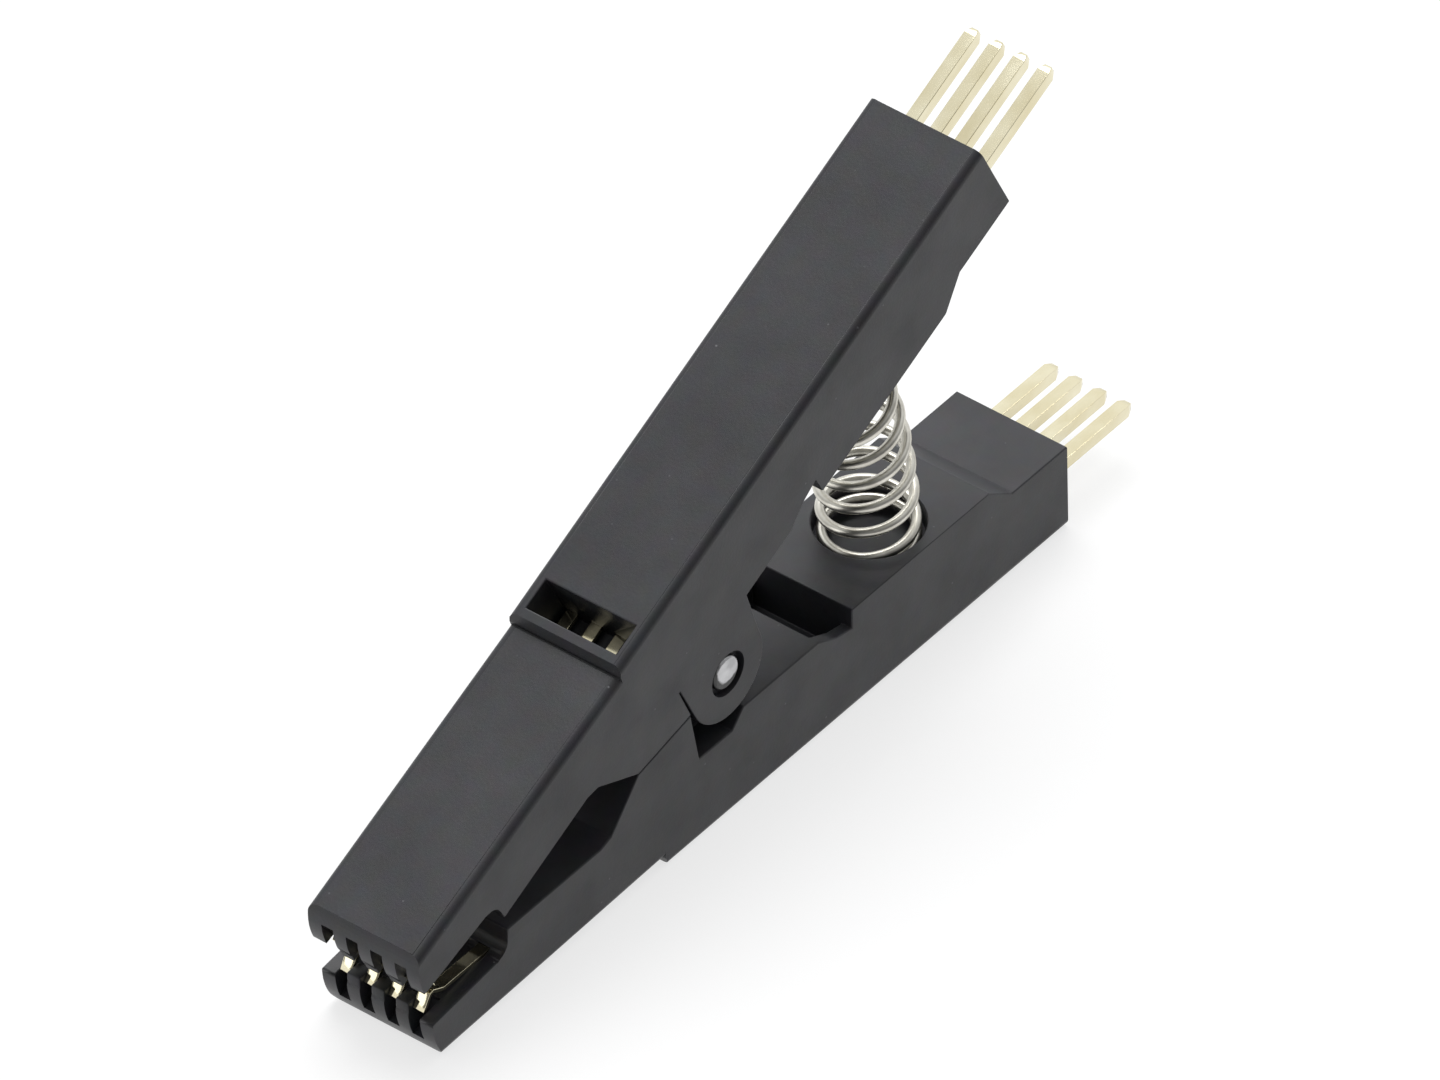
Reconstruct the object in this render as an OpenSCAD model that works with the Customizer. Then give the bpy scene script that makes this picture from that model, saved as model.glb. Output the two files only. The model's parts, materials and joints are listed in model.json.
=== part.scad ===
// Spring test clip for an 8-lead small-outline chip.
// Two identical moulded jaws interleave their knuckles on one steel pin. A coil spring
// behind the pin holds the nose shut. Each jaw carries four one-piece contacts, which
// run from a crested tip at the nose to a square header pin at the rear.
// The clip lies on the outer face of its lower jaw, and the origin is on that face,
// straight below the hinge. +X points to the header pins and +Y across the clip.
// Jaw shapes are drawn in a jaw's own frame: x along the jaw from the hinge, z outward
// from the hinge to the jaw's outer face.

/* [Jaw] */
// Width of a jaw across the clip
jaw_w = 5.8; // [5.6:0.1:7]
// Height of the outer face above the hinge axis
outer_h = 7.6; // [7.4:0.1:9]
// Length from the hinge to the rear face
rear_len = 22.4; // [21.5:0.1:28]
// Length from the hinge to the front of the nose
nose_len = 19.4; // [19:0.1:20.2]
// Angle between each jaw and the plane in which they meet
rest_angle = 12.7; // [12:0.1:13.2]
// Radius of the long outer edges
edge_r = 0.4; // [0.2:0.05:0.6]

/* [Grip] */
// Height of the inner face where the spring sits
grip_in = 2.2; // [2.1:0.05:2.6]
// Height of the inner face beside the hinge
hub_in = 2.45; // [2.4:0.05:2.7]
// Height of the inner face under the header block
block_in = 3.25; // [3:0.05:3.8]
// Length of the header block
block_len = 3.65; // [3:0.05:5]
// Length of the ramp in front of the header block
ramp_len = 1.55; // [1:0.05:2.5]

/* [Nose] */
// Distance from the hinge to the step in the outer face
step_x = 4; // [3.8:0.1:5]
// Depth of the step in the outer face
step_h = 0.5; // [0.3:0.05:0.6]
// Rise of the outer face from the step to the nose
nose_rise = 0.4; // [0.2:0.05:0.5]
// Length of the chip cavity, back from the nose
cavity_len = 4.9; // [4.4:0.1:5.2]
// Height of the cavity roof at its back corner
cavity_back_h = 4.95; // [4.85:0.05:5.1]
// Height of the cavity roof at the nose
cavity_front_h = 5.4; // [5.3:0.05:5.6]
// Height of the ribs between the contact slots
comb_h = 4.95; // [4.9:0.05:5.3]
// Length of the ribs, back from the nose
comb_len = 0.8; // [0.5:0.05:1]
// Radius of the cavity's back corner
cavity_r = 0.7; // [0.4:0.05:0.9]
// Height of the long relief between the jaws
relief_h = 3.65; // [3.4:0.05:3.8]
// Radius of the nose's front face
nose_r = 3.5; // [3:0.1:5]
// Distance from the hinge to the front end of the seam
seam_front = 5.9; // [5.5:0.1:6.5]
// Distance from the hinge to the rear end of the seam
seam_rear = 2.45; // [2.45:0.05:2.8]
// Gap left between the jaws along the seam
seam_gap = 0.02; // [0.02:0.01:0.05]

/* [Windows] */
// Length of the window in the outer face
window_len = 1.45; // [1:0.05:1.6]
// Distance from the hinge to the rear edge of the outer window
window_rear = 2.1; // [1.6:0.1:2.3]
// Width of the windows across the jaw
window_w = 4.7; // [4.4:0.1:4.9]
// Distance from the hinge to the front edge of the inner window
pocket_x = 5.9; // [5.5:0.1:6.2]
// Length of the inner window
pocket_len = 2.2; // [1.6:0.1:2.4]
// Height of the roof of each side notch at the rear of the inner window
notch_h = 3.2; // [2.9:0.05:3.6]

/* [Hinge] */
// Diameter of the hinge pin
pin_d = 1.6; // [1.2:0.05:1.8]
// Gap between the hinge pin and its bores
pin_gap = 0.02; // [0.02:0.01:0.08]
// How far each end of the hinge pin lies below the jaw's side
pin_sink = 0.25; // [0.1:0.05:0.4]
// Radius of the hinge knuckles
knuckle_r = 2.3; // [2:0.05:2.35]
// Gap between neighbouring knuckles
knuckle_gap = 0.05; // [0.04:0.01:0.1]
// Radius of the sink around each end of the pin
sink_r = 1.05; // [1:0.05:1.2]
// Width of the slit in front of the outer knuckle
slit_w = 0.12; // [0.08:0.02:0.2]
// Height of the knuckle pocket's floor above the hinge axis
pocket_floor = 3.25; // [3:0.05:3.6]

/* [Spring] */
// Distance from the hinge to the spring's axis
spring_x = 12.9; // [12:0.1:13.6]
// Outer diameter of the spring
spring_d = 4.4; // [4:0.1:4.6]
// Diameter of the spring wire
wire_d = 0.45; // [0.35:0.05:0.5]
// Turns in the spring, closed ends included
spring_turns = 9; // [8:0.25:10]
// Gap around the spring in its seat
seat_gap = 0.2; // [0.1:0.05:0.3]
// Depth of the spring's seat
seat_depth = 1; // [0.6:0.05:1.3]

/* [Contacts] */
// Number of contacts in each jaw
contact_count = 4; // [4:1:4]
// Distance between neighbouring contacts
contact_pitch = 1.27; // [1.27:0.01:1.3]
// Width of a contact strip
strip_w = 0.57; // [0.5:0.01:0.6]
// Thickness of a contact strip
strip_t = 0.2; // [0.15:0.01:0.25]
// Height of a strip's inner side above the hinge axis
strip_in = 4.85; // [4.85:0.01:5]
// How far a contact's crest stands out of its strip
crest_h = 0.33; // [0.2:0.01:0.4]
// Angle between a contact's flat tip and its strip
tip_angle = 60; // [45:1:75]
// Length of the flat tip beyond the crest
tip_len = 0.56; // [0.3:0.02:0.6]
// Width of the square header pins
header_w = 0.6; // [0.5:0.02:0.64]
// Length of a header pin behind the jaw
header_len = 5.3; // [4:0.1:8]
// Length of a header pin inside the jaw
header_root = 2; // [1:0.1:3]
// Length of a header pin's tapered end
point_len = 0.35; // [0.2:0.05:0.6]
// Width of a header pin at its end
point_w = 0.34; // [0.2:0.02:0.4]
// Gap around each contact in its channel
contact_gap = 0.02; // [0.01:0.01:0.03]
// Radius of the curved slot behind each contact tip
slot_r = 1.35; // [1.2:0.05:1.5]

/* [Hidden] */
$fn = 48;
eps = 0.01;
nose_h = outer_h - step_h;
step_run = 0.25;
groove = 0.12;
knuckle_w = (jaw_w - 3 * knuckle_gap) / 4;
knuckle_web = 0.7;
bore_r = pin_d / 2 + pin_gap;
half_turn = 180;
ramp_x = rear_len - block_len;
grip_x = ramp_x - ramp_len;
hub_x = 0.2;
hub_slope = 0.75;
notch_bend = 1.2;
wall_lean = 0.5;
lens_run = 1.85;
lens_soften = 0.65;
nose_slope = atan(nose_rise / (nose_len - step_x));
crest_x = 0.93 - nose_len;
crest_run = 0.72;
strip_mid = strip_in + strip_t / 2;
coil_start = 210;
spring_r = (spring_d - wire_d) / 2;
seat_r = spring_d / 2 + seat_gap;
seat_top = grip_in + seat_depth;
spring_lift = 0.03;
arc_x = -seat_top / tan(rest_angle);
arc_r = spring_x - arc_x;
arc_len = arc_r * 2 * rest_angle * PI / half_turn;
spring_len = arc_len - wire_d - 2 * spring_lift;
closed_turns = 1;
open_pitch = (spring_len - 2 * closed_turns * wire_d) / (spring_turns - 2 * closed_turns);
ring_steps = 20;
ring_sides = 8;

// Height of the plane in which the jaws meet, in a jaw's own frame
function seam_z(x) = -x * tan(rest_angle) + seam_gap / 2;
// Centre line of contact number i across the jaw
function contact_y(i) = (i - (contact_count + 1) / 2) * contact_pitch;
// Points on a circle about [cx, cz] from angle a0 to a1
function arc(cx, cz, r, a0, a1, n) =
    [for (k = [0:n]) let (a = a0 + (a1 - a0) * k / n) [cx + r * cos(a), cz + r * sin(a)]];

// Sets a shape drawn in the upper jaw's frame in its place
module on_upper() {
    translate([0, 0, outer_h]) rotate([0, -2 * rest_angle, 0]) children();
}

// Sets the same shape in the lower jaw, turned half round about the clip's length
module on_lower() {
    translate([0, 0, outer_h]) rotate([half_turn, 0, 0]) children();
}

// Extrudes an x-z outline across the jaw from y0 to y1
module across(y0, y1) {
    translate([0, y1, 0]) rotate([90, 0, 0]) linear_extrude(y1 - y0) children();
}

// Cutter that rounds both outer edges of a jaw from x0 to x1
module edge_cut(x0, x1, top) {
    translate([x0, 0, 0]) rotate([90, 0, 90]) linear_extrude(x1 - x0)
        for (s = [0, 1]) mirror([s, 0]) translate([jaw_w / 2 - edge_r, top - edge_r])
            difference() {
                square(2 * edge_r);
                circle(edge_r);
            }
}

// Side outline of a jaw without its knuckles
module jaw_outline() {
    // The front face is an arc that leaves the lip square to the jaw
    front_a = asin((nose_h + nose_rise - cavity_front_h) / nose_r);
    cavity_x = cavity_len - nose_len;
    polygon(concat(
        [[rear_len, block_in], [rear_len, outer_h], [-step_x, outer_h],
         [-step_x - step_run, nose_h]],
        arc(nose_r - nose_len, cavity_front_h, nose_r, half_turn - front_a, half_turn, 10),
        arc(cavity_x - cavity_r, cavity_back_h - cavity_r, cavity_r, 90, 0, 6),
        [[cavity_x, relief_h], [-seam_front - lens_run - lens_soften, relief_h],
         [-seam_front - lens_run, relief_h - lens_soften / 3],
         [-seam_front, seam_z(-seam_front)], [-seam_rear, seam_z(-seam_rear)],
         [wall_lean - seam_rear, pocket_floor], [hub_x, pocket_floor],
         [hub_x + hub_slope, hub_in], [pocket_x, hub_in], [pocket_x, grip_in],
         [grip_x, grip_in], [ramp_x, block_in]]));
}

// One knuckle from y0 to y1, with its web up to the jaw
module knuckle(y0, y1) {
    across(y0, y1) union() {
        circle(knuckle_r);
        polygon([[-knuckle_r, 0], [-knuckle_r, pocket_floor + knuckle_web],
                 [knuckle_r + knuckle_web, pocket_floor + knuckle_web],
                 [knuckle_r + knuckle_web / 2, hub_in], [knuckle_r, 0]]);
    }
}

// Channel, pin hole and nose slot for one contact
module contact_channel() {
    w = strip_w + 2 * contact_gap;
    h = strip_t + 2 * contact_gap;
    hole = header_w + 2 * contact_gap;
    translate([-nose_len - eps, -w / 2, strip_in - contact_gap])
        cube([nose_len + rear_len - header_root, w, h]);
    translate([rear_len - header_root - contact_gap, -hole / 2, strip_in - contact_gap])
        cube([header_root + 1, hole, hole]);
    translate([-nose_len, 0, cavity_front_h])
        rotate([90, 0, 0]) cylinder(r = slot_r, h = w, center = true);
}

// One moulded jaw
module jaw() {
    difference() {
        union() {
            difference() {
                across(-jaw_w / 2, jaw_w / 2) jaw_outline();
                translate([-step_x - step_run, 0, nose_h]) rotate([0, nose_slope, 0])
                    translate([0, 0, -nose_h]) edge_cut(-nose_len, -eps, nose_h);
                edge_cut(-step_x - step_run / 2, rear_len + 1, outer_h);
            }
            // Comb of ribs between the contact slots
            across(contact_y(1), contact_y(contact_count))
                polygon([[-nose_len, comb_h], [-nose_len, cavity_front_h],
                         [comb_len - nose_len, cavity_front_h + comb_len / 2],
                         [comb_len - nose_len, comb_h]]);
            knuckle(-jaw_w / 2, knuckle_w - jaw_w / 2);
            knuckle(knuckle_gap / 2, knuckle_gap / 2 + knuckle_w);
        }
        // Bore for the hinge pin and the sink at its open end
        rotate([90, 0, 0]) cylinder(r = bore_r, h = jaw_w + 1, center = true);
        translate([0, pin_sink - jaw_w / 2 + 0.1, 0])
            rotate([90, 0, 0]) cylinder(r = sink_r, h = 1);
        // Slit that sets the outer knuckle off from the seam block
        translate([-knuckle_r - slit_w, -jaw_w / 2 - eps, -1])
            cube([slit_w, knuckle_w + knuckle_gap + eps, hub_in + 1]);
        // Window in the outer face, across the strips
        translate([-window_rear - window_len, -window_w / 2, strip_in - strip_t])
            cube([window_len, window_w, outer_h]);
        // Groove along the foot of the step
        translate([-step_x - step_run - groove, -jaw_w / 2 - eps, nose_h - groove])
            cube([groove, jaw_w + 2 * eps, 2 * groove]);
        // Window in the inner face with a notch at each side
        translate([pocket_x, -window_w / 2, 0])
            cube([pocket_len, window_w, strip_in - strip_t]);
        across(-jaw_w / 2 - eps, jaw_w / 2 + eps)
            polygon([[pocket_x, 0], [pocket_x, hub_in], [pocket_x + notch_bend, notch_h - strip_t],
                     [pocket_x + pocket_len, notch_h], [pocket_x + pocket_len, 0]]);
        // Seat of the spring
        translate([spring_x, 0, 0]) cylinder(r = seat_r, h = seat_top);
        for (i = [1:contact_count]) translate([0, contact_y(i), 0]) contact_channel();
    }
}

// Point beside point i of a path, d away from it
function beside(path, i, d) =
    let (a = path[max(i - 1, 0)], b = path[min(i + 1, len(path) - 1)], t = (b - a) / norm(b - a))
    path[i] + d * [-t[1], t[0]];

// One contact, stamped from strip, with a crest, a flat tip and a square header pin
module contact() {
    end_x = rear_len + header_len;
    root_x = rear_len - header_root;
    turn_x = crest_x - crest_run * 0.4;
    turn_z = strip_mid - crest_h * 0.2;
    path = [[root_x + eps, strip_mid], [crest_x + crest_run, strip_mid],
            [crest_x + crest_run * 0.37, strip_mid - crest_h * 0.6],
            [crest_x + crest_run * 0.03, strip_mid - crest_h],
            [crest_x - crest_run * 0.2, strip_mid - crest_h * 0.85], [turn_x, turn_z],
            [turn_x - tip_len * cos(tip_angle), turn_z + tip_len * sin(tip_angle)]];
    last = len(path) - 1;
    across(-strip_w / 2, strip_w / 2)
        polygon(concat([for (i = [0:last]) beside(path, i, strip_t / 2)],
            [for (i = [last:-1:0]) beside(path, i, -strip_t / 2)]));
    translate([0, 0, strip_in + header_w / 2]) intersection() {
        across(-header_w / 2, header_w / 2) pin_outline(root_x, end_x);
        translate([0, 0, -header_w / 2]) linear_extrude(header_w) pin_outline(root_x, end_x);
    }
}

// Outline of a header pin with its tapered end
module pin_outline(x0, x1) {
    polygon([[x0, -header_w / 2], [x1 - point_len, -header_w / 2], [x1, -point_w / 2],
             [x1, point_w / 2], [x1 - point_len, header_w / 2], [x0, header_w / 2]]);
}

module lower_jaw() {
    color("#3a3b3d") on_lower() jaw();
}

module upper_jaw() {
    color("#424345") on_upper() jaw();
}

// Steel pin through the four knuckles
module pivot_pin() {
    chamfer = 0.1;
    len = jaw_w - 2 * pin_sink;
    color("#b9babd") translate([0, 0, outer_h]) rotate([90, 0, 0]) union() {
        cylinder(d = pin_d, h = len - 2 * chamfer, center = true);
        for (s = [0, 1]) mirror([0, 0, s]) translate([0, 0, len / 2 - chamfer])
            cylinder(d1 = pin_d, d2 = pin_d - 2 * chamfer, h = chamfer);
    }
}

// Height along the spring's curved axis after a turns from its lower end
function coil_rise(a) = wire_d * min(a, closed_turns)
    + open_pitch * max(0, min(a, spring_turns - closed_turns) - closed_turns)
    + wire_d * max(0, a - (spring_turns - closed_turns));
// Centre of the wire after a turns
function coil_point(a) =
    let (f = (coil_rise(a) + wire_d / 2 + spring_lift) / arc_r * half_turn / PI,
         q = arc_r + spring_r * cos(360 * a + coil_start))
    [arc_x + q * cos(f), spring_r * sin(360 * a + coil_start), outer_h - seat_top + q * sin(f)];
// Ring of points around the wire after a turns
function coil_ring(a) =
    let (step = 0.5 / ring_steps, c = coil_point(a),
         d = coil_point(a + step) - coil_point(a - step), t = d / norm(d),
         e = cross([0, 1, 0], t), n1 = e / norm(e), n2 = cross(t, n1))
    [for (k = [0:ring_sides - 1]) let (b = 360 * k / ring_sides)
        c + wire_d / 2 * (cos(b) * n1 + sin(b) * n2)];

// Compression spring on an arc that is square to both seats
module coil_spring() {
    rings = spring_turns * ring_steps;
    points = [for (j = [0:rings]) each coil_ring(j / ring_steps)];
    sides = [for (j = [0:rings - 1], k = [0:ring_sides - 1])
        let (m = (k + 1) % ring_sides, p = j * ring_sides)
        [p + k, p + m, p + ring_sides + m, p + ring_sides + k]];
    first = [for (k = [ring_sides - 1:-1:0]) k];
    last = [for (k = [0:ring_sides - 1]) rings * ring_sides + k];
    color("#c9c4ba") polyhedron(points, concat(sides, [first, last]), 4);
}

// Contact number i of the lower or the upper jaw
module lower_contact(i) {
    color("#d8c690") on_lower() translate([0, contact_y(i), 0]) contact();
}

module upper_contact(i) {
    color("#d8c690") on_upper() translate([0, contact_y(i), 0]) contact();
}

lower_jaw();
upper_jaw();
pivot_pin();
coil_spring();
lower_contact(1);  // lower_contact_1
lower_contact(2);  // lower_contact_2
lower_contact(3);  // lower_contact_3
lower_contact(4);  // lower_contact_4
upper_contact(1);  // upper_contact_1
upper_contact(2);  // upper_contact_2
upper_contact(3);  // upper_contact_3
upper_contact(4);  // upper_contact_4
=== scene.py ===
import bpy
import bmesh
import json
import math
from mathutils import Matrix, Vector


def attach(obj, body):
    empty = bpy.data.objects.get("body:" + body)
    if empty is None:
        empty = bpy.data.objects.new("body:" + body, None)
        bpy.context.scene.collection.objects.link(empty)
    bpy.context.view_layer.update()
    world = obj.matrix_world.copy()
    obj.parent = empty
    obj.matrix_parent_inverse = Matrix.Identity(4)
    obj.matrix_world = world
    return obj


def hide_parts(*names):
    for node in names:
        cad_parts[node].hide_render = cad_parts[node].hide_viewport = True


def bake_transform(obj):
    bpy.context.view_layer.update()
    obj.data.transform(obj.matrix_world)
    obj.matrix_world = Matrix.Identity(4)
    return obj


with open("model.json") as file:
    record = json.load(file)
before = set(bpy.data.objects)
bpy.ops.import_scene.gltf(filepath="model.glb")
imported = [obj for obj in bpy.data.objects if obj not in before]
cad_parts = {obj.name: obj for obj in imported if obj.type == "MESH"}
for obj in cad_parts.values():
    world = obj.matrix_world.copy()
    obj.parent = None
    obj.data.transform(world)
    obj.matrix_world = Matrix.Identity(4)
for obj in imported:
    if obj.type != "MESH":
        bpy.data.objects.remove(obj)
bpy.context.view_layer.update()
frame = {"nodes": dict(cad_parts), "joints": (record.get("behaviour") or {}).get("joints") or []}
mm = 0.001


# ---- Camera -------------------------------------------------------------------------
# A long lens set high at the nose end, level with the near side of the clip, so that the
# outer face of the upper jaw, the near sides and the open grip all show.
hinge = Vector(frame["joints"][0]["pos_m"])
aim_right = Vector((0.6219, -0.7830, -0.0160)).normalized()
aim_back = Vector((-0.5814, -0.4753, 0.6603))
aim_back = (aim_back - aim_right * aim_back.dot(aim_right)).normalized()
aim_up = aim_back.cross(aim_right)
camera_distance = 1.5
frame_width = 58.79 * mm
sensor_width = 36
centre_right = 1.939 * mm
centre_up = 4.302 * mm

camera_data = bpy.data.cameras.new("camera")
camera_data.sensor_width = sensor_width
camera_data.lens = sensor_width * camera_distance / frame_width
camera_data.clip_start = 0.1
camera_data.clip_end = 40
camera = bpy.data.objects.new("camera", camera_data)
bpy.context.scene.collection.objects.link(camera)
stand = hinge + aim_right * centre_right + aim_up * centre_up + aim_back * camera_distance
turn = Matrix((aim_right, aim_up, aim_back)).transposed().to_4x4()
camera.matrix_world = Matrix.Translation(stand) @ turn
bpy.context.scene.camera = camera


# ---- Floor and studio light -----------------------------------------------------------
# A wide sheet of white paper in a pale room, under one large soft lamp that stands high on
# the far side, a little toward the rear. A wide weak lamp is low in front of the nose.
bpy.context.scene.view_settings.view_transform = "Standard"
paper_grey = 0.30
paper_lift = 0.72
floor_half = 12.0
room_dim = 0.21
room_bright = 1.15
room_bright_side = (0.58, 0.475, 0.66)


def new_material(name):
    material = bpy.data.materials.new(name)
    material.use_nodes = True
    material.node_tree.nodes.clear()
    return material


def add_node(tree, kind, **settings):
    node = tree.nodes.new(kind)
    for key, value in settings.items():
        setattr(node, key, value)
    return node


def paper_material():
    material = new_material("white_paper")
    tree = material.node_tree
    link = tree.links.new
    out = add_node(tree, "ShaderNodeOutputMaterial")
    paper = add_node(tree, "ShaderNodeBsdfDiffuse")
    paper.inputs["Color"].default_value = (paper_grey, paper_grey, paper_grey, 1)
    # the backdrop shows white, also in metal, and keeps the shadow of the clip
    ray = add_node(tree, "ShaderNodeLightPath")
    seen = add_node(tree, "ShaderNodeMath", operation="MAXIMUM")
    link(ray.outputs["Is Camera Ray"], seen.inputs[0])
    link(ray.outputs["Is Glossy Ray"], seen.inputs[1])
    seen_all = add_node(tree, "ShaderNodeMath", operation="MAXIMUM")
    link(seen.outputs["Value"], seen_all.inputs[0])
    link(ray.outputs["Is Transmission Ray"], seen_all.inputs[1])
    lift = add_node(tree, "ShaderNodeMath", operation="MULTIPLY")
    lift.inputs[1].default_value = paper_lift
    link(seen_all.outputs["Value"], lift.inputs[0])
    glow = add_node(tree, "ShaderNodeEmission")
    link(lift.outputs["Value"], glow.inputs["Strength"])
    both = add_node(tree, "ShaderNodeAddShader")
    link(paper.outputs["BSDF"], both.inputs[0])
    link(glow.outputs["Emission"], both.inputs[1])
    link(both.outputs["Shader"], out.inputs["Surface"])
    return material


floor_mesh = bpy.data.meshes.new("floor")
floor_corners = [(x * floor_half, y * floor_half, 0) for x, y in ((-1, -1), (1, -1), (1, 1), (-1, 1))]
floor_mesh.from_pydata(floor_corners, [], [(0, 1, 2, 3)])
floor_mesh.materials.append(paper_material())
floor = bpy.data.objects.new("floor", floor_mesh)
bpy.context.scene.collection.objects.link(floor)

# the room is brightest behind the rear of the clip and dim on the near side
world = bpy.data.worlds.new("room")
world.use_nodes = True
world.node_tree.nodes.clear()
link = world.node_tree.links.new
room_out = add_node(world.node_tree, "ShaderNodeOutputWorld")
room = add_node(world.node_tree, "ShaderNodeBackground")
room.inputs["Color"].default_value = (0.98, 0.99, 1.0, 1)
way = add_node(world.node_tree, "ShaderNodeTexCoord")
toward = add_node(world.node_tree, "ShaderNodeVectorMath", operation="DOT_PRODUCT")
toward.inputs[1].default_value = room_bright_side
rise = add_node(world.node_tree, "ShaderNodeMapRange", interpolation_type="SMOOTHSTEP")
rise.inputs["From Min"].default_value = -0.2
rise.inputs["From Max"].default_value = 1.15
rise.inputs["To Min"].default_value = room_dim
rise.inputs["To Max"].default_value = room_bright
link(way.outputs["Generated"], toward.inputs[0])
link(toward.outputs["Value"], rise.inputs["Value"])
link(rise.outputs["Result"], room.inputs["Strength"])
link(room.outputs["Background"], room_out.inputs["Surface"])
bpy.context.scene.world = world


def soft_lamp(name, position, size, power, target=(0, 0, 0.008)):
    data = bpy.data.lights.new(name, "AREA")
    data.shape = "DISK"
    data.size = size
    data.energy = power
    lamp = bpy.data.objects.new(name, data)
    bpy.context.scene.collection.objects.link(lamp)
    lamp.location = position
    aim = Vector(target) - Vector(position)
    lamp.rotation_euler = aim.to_track_quat("-Z", "Y").to_euler()


soft_lamp("overhead_lamp", (0.15, 0.17, 0.54), 0.38, 1.9)
soft_lamp("front_lamp", (-0.50, 0.28, 0.13), 0.35, 0.5)


# ---- Jaws ------------------------------------------------------------------------------
# Two identical halves moulded in black glass-filled plastic with a satin face. The upper
# jaw sits half a turn from the lower one, and their knuckles interleave on the hinge pin.
edge_break = 0.07 * mm
shortest_edge = 0.3 * mm
grain_depth = 0.012 * mm
speck_share = 0.1


def moulding_material():
    material = new_material("black_moulding")
    tree = material.node_tree
    link = tree.links.new
    out = add_node(tree, "ShaderNodeOutputMaterial")
    plastic = add_node(tree, "ShaderNodeBsdfPrincipled")
    plastic.inputs["Specular IOR Level"].default_value = 0.35
    place = add_node(tree, "ShaderNodeTexCoord")
    link(plastic.outputs["BSDF"], out.inputs["Surface"])

    # cloudy colour, as the filler lies in the skin, with a faint change of hue from patch to patch
    cloud = add_node(tree, "ShaderNodeTexNoise")
    cloud.inputs["Scale"].default_value = 260
    cloud.inputs["Detail"].default_value = 4
    cloud.inputs["Roughness"].default_value = 0.6
    link(place.outputs["Object"], cloud.inputs["Vector"])
    shade = add_node(tree, "ShaderNodeValToRGB")
    shade.color_ramp.elements[0].position = 0.35
    shade.color_ramp.elements[0].color = (0.0245, 0.0245, 0.028, 1)
    shade.color_ramp.elements[1].position = 0.68
    shade.color_ramp.elements[1].color = (0.0355, 0.0355, 0.040, 1)
    link(cloud.outputs["Fac"], shade.inputs["Fac"])
    patch = add_node(tree, "ShaderNodeTexNoise")
    patch.inputs["Scale"].default_value = 1300
    patch.inputs["Detail"].default_value = 2
    link(place.outputs["Object"], patch.inputs["Vector"])
    mottle = add_node(tree, "ShaderNodeMix", data_type="RGBA", blend_type="SOFT_LIGHT")
    mottle.inputs["Factor"].default_value = 0.22
    link(shade.outputs["Color"], mottle.inputs["A"])
    link(patch.outputs["Color"], mottle.inputs["B"])

    # a few pale specks of dust and fibre
    speck = add_node(tree, "ShaderNodeTexVoronoi")
    speck.inputs["Scale"].default_value = 1900
    link(place.outputs["Object"], speck.inputs["Vector"])
    rare = add_node(tree, "ShaderNodeSeparateColor")
    link(speck.outputs["Color"], rare.inputs["Color"])
    is_rare = add_node(tree, "ShaderNodeMath", operation="GREATER_THAN")
    is_rare.inputs[1].default_value = 1 - speck_share
    link(rare.outputs["Red"], is_rare.inputs[0])
    spot = add_node(tree, "ShaderNodeMapRange")
    spot.inputs["From Min"].default_value = 0.04
    spot.inputs["From Max"].default_value = 0.12
    spot.inputs["To Max"].default_value = 0.0
    link(rare.outputs["Green"], spot.inputs["To Min"])
    link(speck.outputs["Distance"], spot.inputs["Value"])
    dust = add_node(tree, "ShaderNodeMath", operation="MULTIPLY")
    link(spot.outputs["Result"], dust.inputs[0])
    link(is_rare.outputs["Value"], dust.inputs[1])
    tint = add_node(tree, "ShaderNodeMix", data_type="RGBA")
    tint.inputs["B"].default_value = (0.16, 0.16, 0.17, 1)
    link(dust.outputs["Value"], tint.inputs["Factor"])
    link(mottle.outputs["Result"], tint.inputs["A"])
    link(tint.outputs["Result"], plastic.inputs["Base Color"])

    # gloss that changes softly over the face
    sheen = add_node(tree, "ShaderNodeTexNoise")
    sheen.inputs["Scale"].default_value = 420
    sheen.inputs["Detail"].default_value = 5
    link(place.outputs["Object"], sheen.inputs["Vector"])
    gloss = add_node(tree, "ShaderNodeMapRange")
    gloss.inputs["From Min"].default_value = 0.3
    gloss.inputs["From Max"].default_value = 0.7
    gloss.inputs["To Min"].default_value = 0.34
    gloss.inputs["To Max"].default_value = 0.46
    link(sheen.outputs["Fac"], gloss.inputs["Value"])
    link(gloss.outputs["Result"], plastic.inputs["Roughness"])

    # fine spark-eroded grain
    grain = add_node(tree, "ShaderNodeTexNoise")
    grain.inputs["Scale"].default_value = 6500
    grain.inputs["Detail"].default_value = 3
    link(place.outputs["Object"], grain.inputs["Vector"])
    relief = add_node(tree, "ShaderNodeBump")
    relief.inputs["Strength"].default_value = 0.35
    relief.inputs["Distance"].default_value = grain_depth
    link(grain.outputs["Fac"], relief.inputs["Height"])
    link(relief.outputs["Normal"], plastic.inputs["Normal"])
    return material


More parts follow.
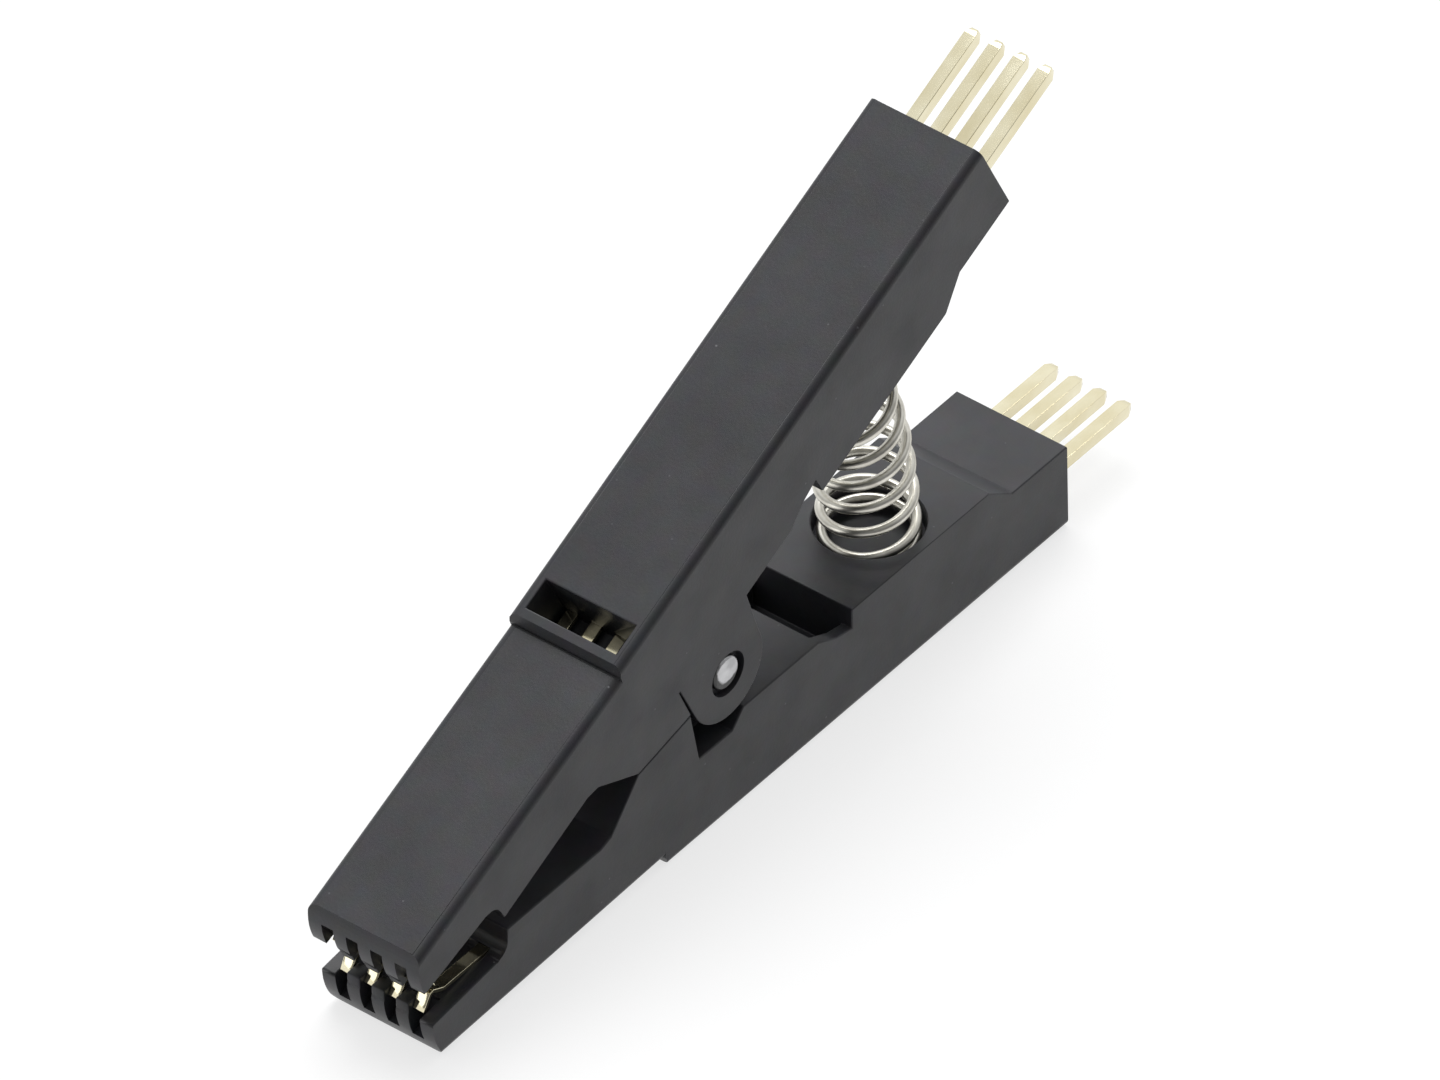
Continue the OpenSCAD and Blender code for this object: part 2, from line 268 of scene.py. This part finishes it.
def broken_edges(node, width, least_length, least_angle=25):
    """A merged copy of a CAD node with its sharp edges rounded by a bevel."""
    mesh = frame["nodes"][node].data.copy()
    mesh.name = node + "_skin"
    mesh.materials.clear()
    shell = bmesh.new()
    shell.from_mesh(mesh)
    bmesh.ops.remove_doubles(shell, verts=shell.verts, dist=2e-7)
    bmesh.ops.dissolve_limit(
        shell, angle_limit=math.radians(0.6), verts=shell.verts, edges=shell.edges, delimit=set())
    layer = shell.edges.layers.float.new("bevel_weight_edge")
    for face in shell.faces:
        face.smooth = True
    for edge in shell.edges:
        edge.smooth = True
        if len(edge.link_faces) != 2:
            continue
        angle = math.degrees(edge.calc_face_angle(0))
        if angle > least_angle:
            if edge.calc_length() > least_length:
                edge[layer] = 1
            else:
                edge.smooth = False
    # beside a slit or a groove the rounding shrinks, so that it doesn't cross itself
    for edge in shell.edges:
        if edge[layer]:
            near = [other.calc_length() for end in edge.verts for other in end.link_edges]
            edge[layer] = min(1, 0.4 * min(near) / width)
    shell.to_mesh(mesh)
    shell.free()
    piece = bpy.data.objects.new(node + "_skin", mesh)
    bpy.context.scene.collection.objects.link(piece)
    rounding = piece.modifiers.new("edge_break", "BEVEL")
    rounding.limit_method = "WEIGHT"
    rounding.width = width
    rounding.segments = 2
    rounding.use_clamp_overlap = False
    flat = piece.modifiers.new("flat_faces", "WEIGHTED_NORMAL")
    flat.mode = "FACE_AREA"
    flat.keep_sharp = True
    return piece


moulding = moulding_material()
for node, body in (("lower_jaw", "lower_half"), ("upper_jaw", "upper_half")):
    jaw = broken_edges(node, edge_break, shortest_edge)
    jaw.data.materials.append(moulding)
    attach(jaw, body)
    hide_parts(node)


# ---- Hinge pin -------------------------------------------------------------------------
# A ground steel pin pressed through the four knuckles, with chamfered ends that sit a
# little below the sides of the jaws.
pin_edge = 0.03 * mm
pin_shortest_edge = 0.05 * mm
pin_end_start = 2.5 * mm
pin_end_reach = 0.2 * mm
# a ring of painted shade around the lit middle of each pin end
lit_centre = (0.05 * mm, 0, 7.83 * mm)
lit_radius = 0.88 * mm
shaded_radius = 0.96 * mm
shade_rag = 0.5 * mm


def steel_material():
    material = new_material("pin_steel")
    tree = material.node_tree
    link = tree.links.new
    out = add_node(tree, "ShaderNodeOutputMaterial")
    steel = add_node(tree, "ShaderNodeBsdfPrincipled")
    steel.inputs["Metallic"].default_value = 1
    link(steel.outputs["BSDF"], out.inputs["Surface"])
    place = add_node(tree, "ShaderNodeTexCoord")
    cut = add_node(tree, "ShaderNodeTexNoise")
    cut.inputs["Scale"].default_value = 1500
    cut.inputs["Detail"].default_value = 5
    link(place.outputs["Object"], cut.inputs["Vector"])
    tone = add_node(tree, "ShaderNodeValToRGB")
    tone.color_ramp.elements[0].position = 0.35
    tone.color_ramp.elements[0].color = (0.42, 0.42, 0.43, 1)
    tone.color_ramp.elements[1].position = 0.65
    tone.color_ramp.elements[1].color = (0.62, 0.62, 0.63, 1)
    link(cut.outputs["Fac"], tone.inputs["Fac"])

    # painted shade: the lower rim of each end is darkened where the gap at the sink edge shades it,
    # with a ragged edge from the noise
    level = add_node(tree, "ShaderNodeVectorMath", operation="MULTIPLY")
    level.inputs[1].default_value = (1, 0, 1)
    link(place.outputs["Object"], level.inputs[0])
    offset = add_node(tree, "ShaderNodeVectorMath", operation="DISTANCE")
    offset.inputs[1].default_value = lit_centre
    link(level.outputs["Vector"], offset.inputs[0])
    ragged_shade = add_node(tree, "ShaderNodeMath", operation="MULTIPLY_ADD")
    ragged_shade.inputs[1].default_value = shade_rag
    link(cut.outputs["Fac"], ragged_shade.inputs[0])
    link(offset.outputs["Value"], ragged_shade.inputs[2])
    shade_rim = add_node(tree, "ShaderNodeMapRange")
    shade_rim.inputs["From Min"].default_value = lit_radius
    shade_rim.inputs["From Max"].default_value = shaded_radius
    link(ragged_shade.outputs["Value"], shade_rim.inputs["Value"])
    # the dark colour of the painted shade on the pin ends
    painted_shade = add_node(tree, "ShaderNodeMix", data_type="RGBA")
    painted_shade.inputs["B"].default_value = (0.07, 0.07, 0.07, 1)
    link(shade_rim.outputs["Result"], painted_shade.inputs["Factor"])
    link(tone.outputs["Color"], painted_shade.inputs["A"])
    link(painted_shade.outputs["Result"], steel.inputs["Base Color"])
    gloss = add_node(tree, "ShaderNodeMapRange")
    gloss.inputs["To Min"].default_value = 0.25
    gloss.inputs["To Max"].default_value = 0.45
    link(cut.outputs["Fac"], gloss.inputs["Value"])
    link(gloss.outputs["Result"], steel.inputs["Roughness"])
    relief = add_node(tree, "ShaderNodeBump")
    relief.inputs["Strength"].default_value = 0.6
    relief.inputs["Distance"].default_value = 0.07 * mm
    link(cut.outputs["Fac"], relief.inputs["Height"])
    link(relief.outputs["Normal"], steel.inputs["Normal"])
    return material


pin = broken_edges("pivot_pin", pin_edge, pin_shortest_edge)
for vertex in pin.data.vertices:
    if abs(vertex.co.y) > pin_end_start:
        vertex.co.y += math.copysign(pin_end_reach, vertex.co.y)
pin.data.materials.append(steel_material())
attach(pin, "lower_half")
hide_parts("pivot_pin")


# ---- Contacts --------------------------------------------------------------------------
# Eight gold-plated strips, stamped and formed in one piece, with a crested tip at the
# nose and a square tapered header pin at the rear.
contact_edge = 0.03 * mm
contact_shortest_edge = 0.08 * mm


def gold_material():
    material = new_material("plated_gold")
    tree = material.node_tree
    link = tree.links.new
    out = add_node(tree, "ShaderNodeOutputMaterial")
    gold = add_node(tree, "ShaderNodeBsdfPrincipled")
    gold.inputs["Metallic"].default_value = 1
    link(gold.outputs["BSDF"], out.inputs["Surface"])
    place = add_node(tree, "ShaderNodeTexCoord")
    plate = add_node(tree, "ShaderNodeTexNoise")
    plate.inputs["Scale"].default_value = 500
    plate.inputs["Detail"].default_value = 4
    link(place.outputs["Object"], plate.inputs["Vector"])
    tone = add_node(tree, "ShaderNodeValToRGB")
    tone.color_ramp.elements[0].position = 0.3
    tone.color_ramp.elements[0].color = (0.69, 0.62, 0.41, 1)
    tone.color_ramp.elements[1].position = 0.7
    tone.color_ramp.elements[1].color = (0.80, 0.75, 0.56, 1)
    link(plate.outputs["Fac"], tone.inputs["Fac"])
    link(tone.outputs["Color"], gold.inputs["Base Color"])
    gloss = add_node(tree, "ShaderNodeMapRange")
    gloss.inputs["To Min"].default_value = 0.06
    gloss.inputs["To Max"].default_value = 0.14
    link(plate.outputs["Fac"], gloss.inputs["Value"])
    link(gloss.outputs["Result"], gold.inputs["Roughness"])
    return material


gold = gold_material()
for half in ("lower", "upper"):
    for number in range(1, 5):
        node = f"{half}_contact_{number}"
        contact = broken_edges(node, contact_edge, contact_shortest_edge)
        contact.data.materials.append(gold)
        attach(contact, half + "_half")
        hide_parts(node)


# ---- Coil spring -----------------------------------------------------------------------
# Cold-wound stainless wire with a closed turn at each end. Between the jaws its axis bows
# into an arc that stands square in both seats.
wire_width = 0.45 * mm
coil_radius = 1.975 * mm
seat_height = 4.4 * mm
arc_centre = -14.2 * mm
arc_radius = 27.1 * mm
arc_turn = math.radians(25.4)
turns = 9.0
first_turn = 210 / 360
end_lift = 0.57
path_steps = 540
wire_sides = 16


def steel_wire_material():
    material = new_material("spring_wire")
    tree = material.node_tree
    link = tree.links.new
    out = add_node(tree, "ShaderNodeOutputMaterial")
    wire = add_node(tree, "ShaderNodeBsdfPrincipled")
    wire.inputs["Metallic"].default_value = 1
    link(wire.outputs["BSDF"], out.inputs["Surface"])
    place = add_node(tree, "ShaderNodeTexCoord")
    drawn = add_node(tree, "ShaderNodeTexNoise")
    drawn.inputs["Scale"].default_value = 1400
    drawn.inputs["Detail"].default_value = 4
    link(place.outputs["Object"], drawn.inputs["Vector"])
    tone = add_node(tree, "ShaderNodeValToRGB")
    tone.color_ramp.elements[0].position = 0.35
    tone.color_ramp.elements[0].color = (0.54, 0.52, 0.46, 1)
    tone.color_ramp.elements[1].position = 0.65
    tone.color_ramp.elements[1].color = (0.74, 0.72, 0.65, 1)
    link(drawn.outputs["Fac"], tone.inputs["Fac"])
    link(tone.outputs["Color"], wire.inputs["Base Color"])
    gloss = add_node(tree, "ShaderNodeMapRange")
    gloss.inputs["To Min"].default_value = 0.26
    gloss.inputs["To Max"].default_value = 0.38
    link(drawn.outputs["Fac"], gloss.inputs["Value"])
    link(gloss.outputs["Result"], wire.inputs["Roughness"])
    return material


def spring_tree(finish):
    """Wire swept along a helix whose axis is an arc in the x-z plane."""
    tree = bpy.data.node_groups.new("wound_spring", "GeometryNodeTree")
    face = tree.interface
    face.new_socket("Geometry", in_out="OUTPUT", socket_type="NodeSocketGeometry")
    for label in ("Turns", "Wire width", "Coil radius", "Seat height", "Arc centre", "Arc radius",
                  "Arc turn", "First turn"):
        face.new_socket(label, in_out="INPUT", socket_type="NodeSocketFloat")
    face.new_socket("Steps", in_out="INPUT", socket_type="NodeSocketInt")
    link = tree.links.new
    given = add_node(tree, "NodeGroupInput")
    result = add_node(tree, "NodeGroupOutput")

    def calc(operation, a, b=None, c=None):
        node = add_node(tree, "ShaderNodeMath", operation=operation)
        for socket, value in zip(node.inputs, (a, b, c)):
            if value is None:
                continue
            if isinstance(value, (int, float)):
                socket.default_value = value
            else:
                link(value, socket)
        return node.outputs["Value"]

    sizes = {s.name: s for s in given.outputs if s.name}
    line = add_node(tree, "GeometryNodeMeshLine")
    link(calc("ADD", sizes["Steps"], 1), line.inputs["Count"])
    line.inputs["Offset"].default_value = (0, 0, 1 * mm)
    index = add_node(tree, "GeometryNodeInputIndex")
    share = calc("DIVIDE", index.outputs["Index"], sizes["Steps"])
    wound = calc("MULTIPLY", share, sizes["Turns"])
    # closed turns lie wire to wire, and the rest share what is left of the arc
    closed = calc("MINIMUM", wound, 1)
    last = calc("MAXIMUM", calc("SUBTRACT", wound, calc("SUBTRACT", sizes["Turns"], 1)), 0)
    middle = calc("SUBTRACT", calc("SUBTRACT", wound, closed), last)
    arc_length = calc("MULTIPLY", sizes["Arc radius"], sizes["Arc turn"])
    solid_ends = calc("MULTIPLY", sizes["Wire width"], 2 + 2 * end_lift)
    clear = calc("SUBTRACT", arc_length, solid_ends)
    pitch = calc("DIVIDE", clear, calc("SUBTRACT", sizes["Turns"], 2))
    ends = calc("MULTIPLY", calc("ADD", closed, last), sizes["Wire width"])
    start = calc("MULTIPLY", sizes["Wire width"], end_lift)
    rise = calc("ADD", calc("ADD", ends, calc("MULTIPLY", middle, pitch)), start)
    angle = calc("DIVIDE", rise, sizes["Arc radius"])
    around = calc("MULTIPLY", calc("ADD", wound, sizes["First turn"]), 2 * math.pi)
    swing = calc("MULTIPLY", sizes["Coil radius"], calc("COSINE", around))
    reach_out = calc("ADD", sizes["Arc radius"], swing)
    along = calc("MULTIPLY", reach_out, calc("COSINE", angle))
    height = calc("MULTIPLY", reach_out, calc("SINE", angle))
    spot = add_node(tree, "ShaderNodeCombineXYZ")
    link(calc("ADD", sizes["Arc centre"], along), spot.inputs["X"])
    link(calc("MULTIPLY", sizes["Coil radius"], calc("SINE", around)), spot.inputs["Y"])
    link(calc("ADD", sizes["Seat height"], height), spot.inputs["Z"])
    bend = add_node(tree, "GeometryNodeSetPosition")
    link(line.outputs["Mesh"], bend.inputs["Geometry"])
    link(spot.outputs["Vector"], bend.inputs["Position"])
    path = add_node(tree, "GeometryNodeMeshToCurve")
    link(bend.outputs["Geometry"], path.inputs["Mesh"])
    section = add_node(tree, "GeometryNodeCurvePrimitiveCircle")
    section.inputs["Resolution"].default_value = wire_sides
    link(calc("MULTIPLY", sizes["Wire width"], 0.5), section.inputs["Radius"])
    sweep = add_node(tree, "GeometryNodeCurveToMesh")
    link(path.outputs["Curve"], sweep.inputs["Curve"])
    link(section.outputs["Curve"], sweep.inputs["Profile Curve"])
    sweep.inputs["Fill Caps"].default_value = True
    real = add_node(tree, "GeometryNodeRealizeInstances")
    link(sweep.outputs["Mesh"], real.inputs["Geometry"])
    coat = add_node(tree, "GeometryNodeSetMaterial")
    coat.inputs["Material"].default_value = finish
    link(real.outputs["Geometry"], coat.inputs["Geometry"])
    link(coat.outputs["Geometry"], result.inputs["Geometry"])
    return tree


def grown(name, tree, values):
    """The plain mesh that a node tree makes from the given sizes."""
    seed_mesh = bpy.data.meshes.new(name + "_seed")
    seed = bpy.data.objects.new(name + "_seed", seed_mesh)
    bpy.context.scene.collection.objects.link(seed)
    grower = seed.modifiers.new("grow", "NODES")
    grower.node_group = tree
    for item in tree.interface.items_tree:
        if item.in_out == "INPUT" and item.name in values:
            grower[item.identifier] = values[item.name]
    seed.update_tag()
    graph = bpy.context.evaluated_depsgraph_get()
    mesh = bpy.data.meshes.new_from_object(seed.evaluated_get(graph))
    seed.modifiers.remove(grower)
    bpy.data.objects.remove(seed)
    mesh.name = name
    piece = bpy.data.objects.new(name, mesh)
    bpy.context.scene.collection.objects.link(piece)
    return piece


spring = grown("wound_spring", spring_tree(steel_wire_material()), {
    "Turns": turns, "Wire width": wire_width, "Coil radius": coil_radius,
    "Seat height": seat_height, "Arc centre": arc_centre, "Arc radius": arc_radius,
    "Arc turn": arc_turn, "First turn": first_turn, "Steps": path_steps})
for face in spring.data.polygons:
    face.use_smooth = len(face.vertices) == 4
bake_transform(spring)
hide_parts("coil_spring")
